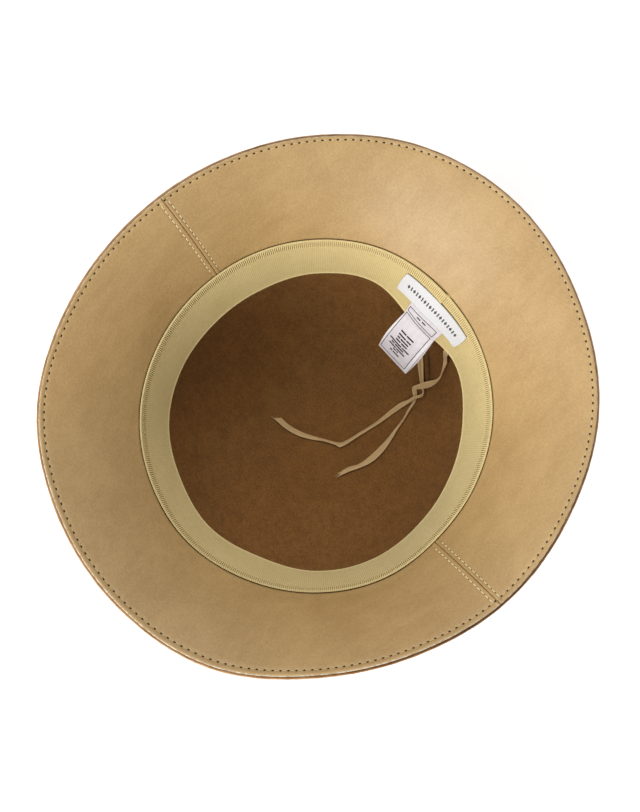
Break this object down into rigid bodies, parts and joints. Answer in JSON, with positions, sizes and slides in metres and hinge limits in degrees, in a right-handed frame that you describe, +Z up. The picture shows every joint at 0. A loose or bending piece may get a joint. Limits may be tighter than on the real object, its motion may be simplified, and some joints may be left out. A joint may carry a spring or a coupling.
{
  "type": "cloche hat",
  "caption": "Felt cloche hat lying upside down on its crown, with a flared brim faced in leather, a woven sweatband, labels at the back and a half-knotted ribbon tie.",
  "frame": {"origin": "on the crown's axis, at the centre of the flattened crown tip that the hat rests on", "axes": "+Z up out of the head opening, +Y towards the back of the hat, where the labels are, -Y towards its front, side seams close to +X and -X"},
  "size_m": [0.2681, 0.2872, 0.1468],
  "materials": {
    "felt": "brown wool felt, matt, with a short nap",
    "leather": "tan smooth leather with a fine grain and a low sheen, pale at its cut edge",
    "ribbon": "straw-coloured woven ribbon with a ribbed edge",
    "woven_label": "white woven label, no lettering",
    "satin": "off-white satin with thin printed lines, no lettering",
    "tie": "tan flat woven ribbon"
  },
  "bodies": {
    "root": {"felt_body": "felt", "brim_leather_front": "leather", "brim_leather_back": "leather", "sweatband": "ribbon", "woven_label": "woven_label", "care_label": "satin", "tie_right": "tie", "tie_left": "tie"}
  },
  "joints": []
}
